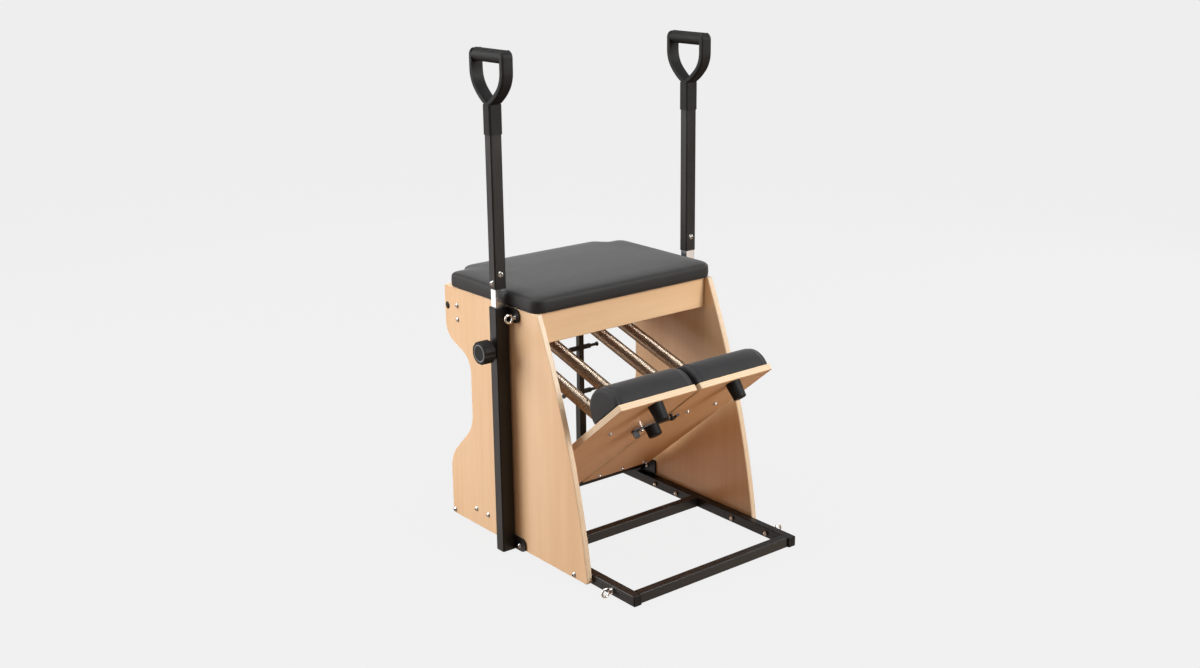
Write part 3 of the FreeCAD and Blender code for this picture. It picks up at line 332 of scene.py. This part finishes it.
def leatherette(name, dark, light, wrinkle):
    """Coated cloth with a pebble grain and soft handling wrinkles."""
    shader = Shader(name, Specular_IOR_Level=0.30, Sheen_Weight=0.13, Sheen_Roughness=0.45)
    pebble = shader.cells(shader.place(), 620.0)
    veins = shader.noise(shader.place(), 300.0, 4.0, 0.6)
    soft = shader.noise(shader.place(), wrinkle, 3.0, 0.5)
    hide = shader.ramp(soft, (0.3, dark), (0.75, light))
    shader.set("Base Color", shader.mix(shader.ramp(pebble, (0.1, 0.0), (0.7, 0.55)), hide, dark))
    shader.set("Roughness", shader.ramp(veins, (0.3, 0.54), (0.75, 0.68)))
    height = shader.math("ADD", shader.math("MULTIPLY", pebble, -0.6), shader.math("MULTIPLY", veins, 0.5))
    height = shader.math("ADD", height, shader.math("MULTIPLY", soft, 0.8))
    shader.bump(height, 0.16, 0.0006)
    return shader.material


def metal(name, dark, light, low, high, stretch, scale):
    """Bare metal with fine marks drawn out along one direction."""
    shader = Shader(name, Metallic=1.0)
    marks = shader.noise(shader.place(0.0, stretch), scale, 4.0, 0.6)
    shader.set("Base Color", shader.ramp(marks, (0.3, dark), (0.7, light)))
    shader.set("Roughness", shader.ramp(marks, (0.3, low), (0.75, high)))
    shader.bump(marks, 0.04, 0.0002)
    return shader.material


def make_materials():
    return {
        "upright": plywood("ply_upright", 0, 2),
        "rail": plywood("ply_rail", 1, 0),
        "seat_board": plywood("ply_seat_board", 2, 0),
        "pedal": plywood("ply_pedal", 2, 1, PEDAL_TILT),
        "black_tube": powder_coat("black_powder_coat"),
        "seat_cover": leatherette("seat_leatherette", (0.010, 0.0095, 0.0095), (0.017, 0.016, 0.016), 24.0),
        "pad_cover": leatherette("pad_leatherette", (0.008, 0.008, 0.0095), (0.0135, 0.0135, 0.0155), 40.0),
        "chrome_fastener": metal("polished_chrome", (0.70, 0.67, 0.63), (0.90, 0.88, 0.85), 0.08, 0.18,
                                 (1.0, 1.0, 1.0), 500.0),
        "bright_insert": metal("satin_insert", (0.60, 0.62, 0.65), (0.76, 0.78, 0.81), 0.18, 0.30,
                               (1.0, 1.0, 0.04), 900.0),
        # The springs are plain steel; the brown tint of this wire colour is a painted reflection of the wood
        # around them
        "spring_steel": metal("spring_wire_painted_reflection", (0.36, 0.28, 0.21), (0.64, 0.54, 0.44), 0.20, 0.34,
                              (1.0, 1.0, 1.0), 700.0),
        "plain_steel": metal("turned_steel", (0.42, 0.42, 0.43), (0.60, 0.60, 0.61), 0.25, 0.4,
                             (0.1, 1.0, 1.0), 700.0),
        "black_plastic": moulded("black_plastic", (0.0060, 0.0057, 0.0056), (0.0105, 0.0100, 0.0098),
                                 0.50, 0.66, 1100.0),
        "black_rubber": moulded("black_rubber", (0.0035, 0.0032, 0.0030), (0.0075, 0.0070, 0.0066),
                                0.46, 0.60, 700.0),
        # Near-black painted shade for the walls and floor of the hexagon sockets in the chrome screws
        "socket": moulded("socket_shade", (0.004, 0.004, 0.004), (0.009, 0.009, 0.009), 0.45, 0.60, 1500.0),
        "ring": moulded("pale_print", (0.150, 0.160, 0.175), (0.220, 0.232, 0.250), 0.42, 0.58, 900.0)}


def dress_nodes(materials):
    special = {"front_rail": "rail", "rear_rail": "rail", "seat_board": "seat_board"}
    for side, _ in SIDES:
        special[side + "_side_panel"] = "upright"
        special[side + "_pedal_board"] = "pedal"
    for entry in frame["record"]["subparts"]:
        piece = nodes[entry["node"]]
        piece.data.materials.clear()
        piece.data.materials.append(materials[special.get(entry["node"], entry["material_slot"])])


def dome_ring(angle):
    """A level ring of points on the dome, at an angle above the floor."""
    turns = [2.0 * math.pi * step / DOME_SIDES for step in range(DOME_SIDES)]
    reach, height = math.cos(angle), math.sin(angle)
    return [Vector((math.cos(turn) * reach, math.sin(turn) * reach, height)) * FLOOR_REACH for turn in turns]


def make_stage():
    """A round floor that rises into a dome far off, so that no view shows where it ends."""
    mesh = bpy.data.meshes.new("floor")
    points, faces = skin([dome_ring(math.pi / 2.0 * step / DOME_RINGS) for step in range(DOME_RINGS)])
    mesh.from_pydata([tuple(point) for point in points], [], faces)
    floor = bpy.data.objects.new("floor", mesh)
    bpy.context.scene.collection.objects.link(floor)
    # A pale backdrop that throws no light of its own back on to the object
    floor.visible_diffuse = False
    floor.visible_glossy = False
    floor.visible_shadow = False
    shader = Shader("floor", Roughness=0.9, Specular_IOR_Level=0.0)
    shader.set("Base Color", (0.015, 0.015, 0.015, 1.0))
    shader.set("Emission Color", (1.0, 1.0, 1.0, 1.0))
    shader.set("Emission Strength", STAGE_GLOW)
    mesh.materials.append(shader.material)


def make_world():
    """Grey from above and warm from below, for the wood; bright metal mirrors it almost neutral."""
    world = bpy.data.worlds.new("studio")
    bpy.context.scene.world = world
    world.use_nodes = True
    tree = world.node_tree
    direction = tree.nodes.new("ShaderNodeTexCoord").outputs["Generated"]
    parts = tree.nodes.new("ShaderNodeSeparateXYZ")
    tree.links.new(direction, parts.inputs[0])
    level = tree.nodes.new("ShaderNodeMapRange")
    level.inputs["From Min"].default_value = -1.0
    tree.links.new(parts.outputs["Z"], level.inputs["Value"])
    ramp = tree.nodes.new("ShaderNodeValToRGB")
    tree.links.new(level.outputs[0], ramp.inputs["Fac"])
    elements = ramp.color_ramp.elements
    while len(elements) < len(WORLD_STOPS):
        elements.new(WORLD_STOPS[len(elements)][0])
    for element, (place, colour) in zip(elements, WORLD_STOPS):
        element.position = place
        element.color = (*colour, 1.0)
    share = tree.nodes.new("ShaderNodeMath")
    share.operation = "MULTIPLY"
    share.inputs[1].default_value = GLOSSY_NEUTRAL
    tree.links.new(tree.nodes.new("ShaderNodeLightPath").outputs["Is Glossy Ray"], share.inputs[0])
    mix = tree.nodes.new("ShaderNodeMix")
    mix.data_type = "RGBA"
    tree.links.new(share.outputs[0], mix.inputs["Factor"])
    tree.links.new(ramp.outputs["Color"], mix.inputs[6])
    mix.inputs[7].default_value = GLOSSY_GREY
    tree.links.new(mix.outputs[2], tree.nodes["Background"].inputs["Color"])


def soft_light(name, place, target, size, power, colour=(1.0, 1.0, 1.0)):
    data = bpy.data.lights.new(name, "AREA")
    data.shape = "DISK"
    data.size = size
    data.energy = power
    data.color = colour
    light = bpy.data.objects.new(name, data)
    bpy.context.scene.collection.objects.link(light)
    light.location = place
    light.rotation_euler = (Vector(target) - Vector(place)).to_track_quat("-Z", "Y").to_euler()


def make_lights():
    middle = (0.0, 0.1, 0.5)
    soft_light("side_key", (-2.9, 2.2, 1.9), middle, size=3.2, power=150.0)
    soft_light("front_fill", (1.5, -3.5, 2.2), (0.0, 0.0, 0.5), size=2.2, power=165.0)
    soft_light("top", (-0.5, 0.2, 3.8), middle, size=2.6, power=98.0)
    soft_light("rear_panel", (1.6, 3.2, 1.2), middle, size=2.4, power=14.0)
    soft_light("right_fill", (3.4, 0.4, 1.6), middle, size=2.6, power=42.0)
    # Light thrown back by a white floor; the stage itself lights nothing
    soft_light("floor_bounce", (-2.5, 2.2, -0.5), (-0.2, 0.1, 0.5), size=2.0, power=19.0)
    soft_light("front_bounce", (1.9, -2.5, -0.7), (0.0, 0.0, 0.3), size=1.8, power=11.0, colour=WARM_FLOOR)


def new_piece(name, points, faces, material):
    mesh = bpy.data.meshes.new(name)
    mesh.from_pydata([tuple(point) for point in points], [], faces)
    mesh.materials.append(material)
    piece = bpy.data.objects.new(name, mesh)
    bpy.context.scene.collection.objects.link(piece)
    shade_smooth(piece)
    return piece


def shade_smooth(piece):
    for polygon in piece.data.polygons:
        polygon.use_smooth = True


def skin(rings):
    """Faces over a list of equal rings of points, closed at both ends."""
    count = len(rings[0])
    points = [point for ring in rings for point in ring]
    faces = []
    for step in range(len(rings) - 1):
        low = step * count
        for index in range(count):
            beside = (index + 1) % count
            faces.append((low + index, low + beside, low + count + beside, low + count + index))
    faces.append(tuple(reversed(range(count))))
    faces.append(tuple(range(len(points) - count, len(points))))
    return points, faces


def coil_rings(start, end):
    """Round wire wound close about the line from start to end."""
    axis = (end - start).normalized()
    third = axis.cross(ACROSS)
    span = (end - start).length - 2.0 * COIL_WIRE
    steps = COIL_TURNS * COIL_STEPS
    rings = []
    for step in range(steps + 1):
        angle = 2.0 * math.pi * step / COIL_STEPS
        out = ACROSS * math.cos(angle) + third * math.sin(angle)
        centre = start + axis * (COIL_WIRE + span * step / steps) + out * COIL_RADIUS
        turns = [2.0 * math.pi * index / COIL_WIRE_SIDES for index in range(COIL_WIRE_SIDES)]
        rings.append([centre + (out * math.cos(turn) + axis * math.sin(turn)) * COIL_WIRE
                      for turn in turns])
    return rings


def make_springs(materials):
    axis = (FRONT_PIN - REAR_PEG).normalized()
    rear = REAR_PEG + axis * REAR_COIL_START
    front = FRONT_PIN - axis * FRONT_COIL_START
    for side, sign in SIDES:
        points, faces = [], []
        for place in SPRING_SIDES:
            shift = ACROSS * (sign * place)
            more, more_faces = skin(coil_rings(rear + shift, front + shift))
            faces += [tuple(index + len(points) for index in face) for face in more_faces]
            points += more
        name = side + "_close_wound_springs"
        piece = new_piece(name, points, faces, materials["spring_steel"])
        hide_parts(side + "_springs")
        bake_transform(piece)


def remeshed(piece, voxel):
    modifier = piece.modifiers.new("remesh", "REMESH")
    modifier.mode = "VOXEL"
    modifier.voxel_size = voxel
    apply_modifiers(piece)


def apply_modifiers(piece):
    found = piece.evaluated_get(bpy.context.evaluated_depsgraph_get())
    mesh = bpy.data.meshes.new_from_object(found)
    piece.modifiers.clear()
    piece.data = mesh


def inflated(piece, caps, least_z):
    """Swell a closed mesh by cloth pressure: its points move out, within caps by direction."""
    start = [(vertex.co.copy(), vertex.normal.copy()) for vertex in piece.data.vertices]
    cloth = piece.modifiers.new("cloth", "CLOTH")
    cloth.settings.use_pressure = True
    cloth.settings.uniform_pressure_force = CLOTH_PRESSURE
    cloth.settings.effector_weights.gravity = 0.0
    for step in range(1, CLOTH_FRAMES + 1):
        bpy.context.scene.frame_set(step)
    apply_modifiers(piece)
    bpy.context.scene.frame_set(1)
    advances = []
    for vertex, (before, normal) in zip(piece.data.vertices, start):
        cap = sum(most * share * share for most, share in zip(caps, normal))
        advances.append(min(max((vertex.co - before).dot(normal), 0.0), cap))
    for step in range(EASING_STEPS):
        advances = eased(piece.data, advances)
    for vertex, (before, normal), advance in zip(piece.data.vertices, start, advances):
        vertex.co = before + normal * advance
        vertex.co.z = max(vertex.co.z, least_z)


def eased(mesh, values):
    """Each point's value, averaged with those of its neighbours."""
    totals = list(values)
    counts = [1] * len(values)
    for edge in mesh.edges:
        first, second = edge.vertices
        totals[first] += values[second]
        totals[second] += values[first]
        counts[first] += 1
        counts[second] += 1
    return [total / count for total, count in zip(totals, counts)]


def smoothed(piece):
    modifier = piece.modifiers.new("subdivision", "SUBSURF")
    modifier.levels = 1
    modifier.render_levels = 1
    apply_modifiers(piece)
    shade_smooth(piece)


def rounded(corner, radius, start):
    """Points of a quarter turn about a corner's centre, from the angle start."""
    angles = [start + math.pi / 2.0 * step / CORNER_STEPS for step in range(CORNER_STEPS + 1)]
    return [corner + Vector((math.cos(angle), math.sin(angle))) * radius for angle in angles]


def cushion_plan(inset):
    """Outline of the seat from its rear edge round the right side to its front edge, then mirrored."""
    half = CUSHION_HALF - inset
    near = CUSHION_FRONT + inset
    shoulder = CUSHION_SHOULDER - inset
    rear = CUSHION_REAR - inset
    back = CUSHION_BACK_HALF - inset
    near_radius = max(CUSHION_FRONT_RADIUS - inset, CUSHION_LEAST_RADIUS)
    rear_radius = max(CUSHION_REAR_RADIUS - inset, CUSHION_LEAST_RADIUS)
    right = []
    for step in range(CUSHION_STEP_COUNT + 1):
        share = step / CUSHION_STEP_COUNT
        ease = share * share * (3.0 - 2.0 * share)
        right.append(Vector((back + CUSHION_STEP_WIDTH * share, rear + (shoulder - rear) * ease)))
    rear_centre = Vector((half - rear_radius, shoulder - rear_radius))
    near_centre = Vector((half - near_radius, near + near_radius))
    right += reversed(rounded(rear_centre, rear_radius, 0.0))
    right += reversed(rounded(near_centre, near_radius, -math.pi / 2.0))
    left = [Vector((-point.x, point.y)) for point in reversed(right)]
    return right + left


def make_cushion(materials):
    middle = CUSHION_SIDE / 2.0
    levels = [(0.0, CUSHION_HEM), (CUSHION_HEM, CUSHION_DRAW), (middle, 0.0)]
    for step in range(ROLL_STEPS + 1):
        angle = math.pi / 2.0 * step / ROLL_STEPS
        levels.append((CUSHION_SIDE + CUSHION_ROLL * math.sin(angle),
                       CUSHION_DRAW + CUSHION_ROLL * (1.0 - math.cos(angle))))
    flat = CUSHION_SIDE + CUSHION_ROLL
    levels += [(flat + CUSHION_CROWN * CUSHION_CROWN_SHARE, CUSHION_CROWN_START),
               (flat + CUSHION_CROWN, CUSHION_CROWN_END)]
    rings = []
    for height, inset in levels:
        plan = cushion_plan(inset)
        rings.append([Vector((point.x, point.y, SEAT_TOP + height)) for point in plan])
    points, faces = skin(rings)
    piece = new_piece("seat_cushion_cover", points, faces, materials["seat_cover"])
    remeshed(piece, CUSHION_VOXEL)
    inflated(piece, CUSHION_SWELL, SEAT_TOP)
    smoothed(piece)
    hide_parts("seat_cushion")
    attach(piece, "frame")


def pad_ring(x, inset):
    """Half-round section in the level pedal frame, measured from the hinge axis."""
    near = PAD_NEAR + inset
    far = PAD_NEAR + PAD_LENGTH - inset
    middle = (near + far) / 2.0
    half = (far - near) / 2.0
    wall = BOARD_TOP + PAD_WALL
    rise = PAD_RISE - PAD_WALL - inset
    ring = [Vector((x, near, BOARD_TOP))]
    for step in range(PAD_STEPS + 1):
        angle = math.pi * (1.0 - step / PAD_STEPS)
        ring.append(Vector((x, middle + half * math.cos(angle), wall + rise * math.sin(angle))))
    ring.append(Vector((x, far, BOARD_TOP)))
    return ring


def make_pads(materials):
    for side, sign in SIDES:
        levels = []
        for step in range(ROLL_STEPS + 1):
            angle = math.pi / 2.0 * step / ROLL_STEPS
            levels.append((PAD_END_ROLL * (1.0 - math.cos(angle)), PAD_END_ROLL * (1.0 - math.sin(angle))))
        places = [(PAD_INNER + advance, inset) for advance, inset in levels]
        places += [(PAD_OUTER - advance, inset) for advance, inset in reversed(levels)]
        rings = [pad_ring(sign * x, inset) for x, inset in places]
        points, faces = skin(rings)
        piece = new_piece(side + "_pad_cover", points, faces, materials["pad_cover"])
        remeshed(piece, PAD_VOXEL)
        inflated(piece, PAD_SWELL, BOARD_TOP)
        seam(piece, [sign * (PAD_INNER + PAD_SEAM), sign * (PAD_OUTER - PAD_SEAM)])
        smoothed(piece)
        piece.data.transform(PEDAL_LIFT)
        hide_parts(side + "_pedal_pad")
        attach(piece, side + "_pedal")


def seam(piece, places):
    """Draw the cover in along the sewn line of each end panel."""
    middle = PAD_NEAR + PAD_LENGTH / 2.0
    for vertex in piece.data.vertices:
        out = Vector((0.0, vertex.co.y - middle, vertex.co.z - BOARD_TOP))
        for place in places:
            pull = SEAM_DEPTH * math.exp(-((vertex.co.x - place) / SEAM_WIDTH) ** 2)
            vertex.co -= out.normalized() * pull
        vertex.co.z = max(vertex.co.z, BOARD_TOP)


def facing_out(place, direction):
    """Moves what is drawn about +Z at the origin to a place, pointing along a direction."""
    return Matrix.Translation(place) @ Vector(direction).to_track_quat("Z", "Y").to_matrix().to_4x4()


def hexagon_reach(angle):
    part = angle % (math.pi / 3.0) - math.pi / 6.0
    return SOCKET_HEXAGON * math.cos(math.pi / 6.0) / math.cos(part)


def make_sockets(name, seats, body, materials):
    """Hexagon sockets in the crowns of domed screws, each seat given by its place and direction."""
    points, faces, shaded = [], [], []
    angles = [2.0 * math.pi * index / SOCKET_SIDES for index in range(SOCKET_SIDES)]
    circle = [Vector((math.cos(angle), math.sin(angle), 0.0)) for angle in angles]
    rings = [[out * radius + Vector((0.0, 0.0, height)) for out in circle] for radius, height in SOCKET_LIP]
    hexagon = [out * hexagon_reach(angle) for out, angle in zip(circle, angles)]
    for height in (SOCKET_LIP[-1][1], SOCKET_FLOOR):
        rings.append([point + Vector((0.0, 0.0, height)) for point in hexagon])
    more, more_faces = skin(rings)
    wall = (len(rings) - 2) * SOCKET_SIDES
    for place, direction in seats:
        turn = facing_out(Vector(place) + Vector(direction) * HEAD_HEIGHT, direction)
        shaded += [len(faces) + index for index in range(len(more_faces))
                   if wall <= index < wall + SOCKET_SIDES or index == len(more_faces) - 1]
        faces += [tuple(index + len(points) for index in face) for face in more_faces]
        points += [turn @ point for point in more]
    piece = new_piece(name, points, faces, materials["chrome_fastener"])
    piece.data.materials.append(materials["socket"])
    for polygon in piece.data.polygons:
        polygon.use_smooth = False
    # The walls and floor of each socket get the near-black painted shade
    for index in shaded:
        piece.data.polygons[index].material_index = 1
    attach(piece, body)


def mirrored(seats):
    return [((-place[0], place[1], place[2]), (-direction[0], direction[1], direction[2]))
            for place, direction in seats]


def under_pedal(sign, places, depth=0.0):
    """Seats of the screws under a pedal board, from their side and reach from the hinge."""
    down = PEDAL_LIFT.to_3x3() @ Vector((0.0, 0.0, -1.0))
    return [(PEDAL_LIFT @ Vector((sign * side, -reach, BOARD_UNDER - depth)), down)
            for side, reach in places]


def make_all_sockets(materials):
    out = (1.0, 0.0, 0.0)
    right = [((PANEL_FACE, place, FOOT_HEIGHT), out) for place in FOOT_BOLTS]
    right += [((PANEL_FACE, place, HINGE.z), out) for place in HINGE_BOLTS]
    right += [((PANEL_FACE, RAIL_BOLTS, height), out) for height in RAIL_BOLT_HEIGHTS]
    right += [((POST_TAB_FACE, POST_TAB_BOLT, FOOT_HEIGHT), out)]
    right += [((TREE_SIDE, TREE_FACE, height), (0.0, 1.0, 0.0)) for height in TREE_BOLT_HEIGHTS]
    make_sockets("frame_bolt_sockets", right + mirrored(right), "frame", materials)
    handle = [(HANDLE_SIDE_BOLT, out), (HANDLE_FRONT_BOLT, (0.0, -1.0, 0.0))]
    make_sockets("right_handle_bolt_sockets", handle, "right_handle", materials)
    make_sockets("left_handle_bolt_sockets", mirrored(handle), "left_handle", materials)
    places = [(side, LEAF_BOLT_REACH) for side in LEAF_BOLT_SIDES] + [(SPRING_SIDES[1], SPRING_REACH)]
    inner = [(SPRING_SIDES[0], SPRING_REACH)]
    make_sockets("right_pedal_bolt_sockets", under_pedal(1.0, places + inner), "right_pedal", materials)
    left = under_pedal(-1.0, places) + under_pedal(-1.0, inner, LOCK_HEAD_DEPTH)
    make_sockets("left_pedal_bolt_sockets", left, "left_pedal", materials)


def make_knob_rings(materials):
    for side, sign in SIDES:
        turn = facing_out((sign * KNOB_FACE.x, KNOB_FACE.y, KNOB_FACE.z), (sign, 0.0, 0.0))
        count = len(KNOB_RING)
        points, faces = [], []
        for step in range(KNOB_RING_SIDES):
            angle = 2.0 * math.pi * step / KNOB_RING_SIDES
            here = step * count
            ahead = (step + 1) % KNOB_RING_SIDES * count
            for index, (radius, height) in enumerate(KNOB_RING):
                points.append(turn @ Vector((radius * math.cos(angle), radius * math.sin(angle), height)))
                beside = (index + 1) % count
                faces.append((here + index, ahead + index, ahead + beside, here + beside))
        piece = new_piece(side + "_knob_ring", points, faces, materials["ring"])
        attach(piece, side + "_knob")


set_camera()
make_stage()
make_world()
make_lights()
materials = make_materials()
dress_nodes(materials)
make_springs(materials)
make_cushion(materials)
make_pads(materials)
make_all_sockets(materials)
make_knob_rings(materials)
bpy.context.scene.view_settings.view_transform = "Standard"
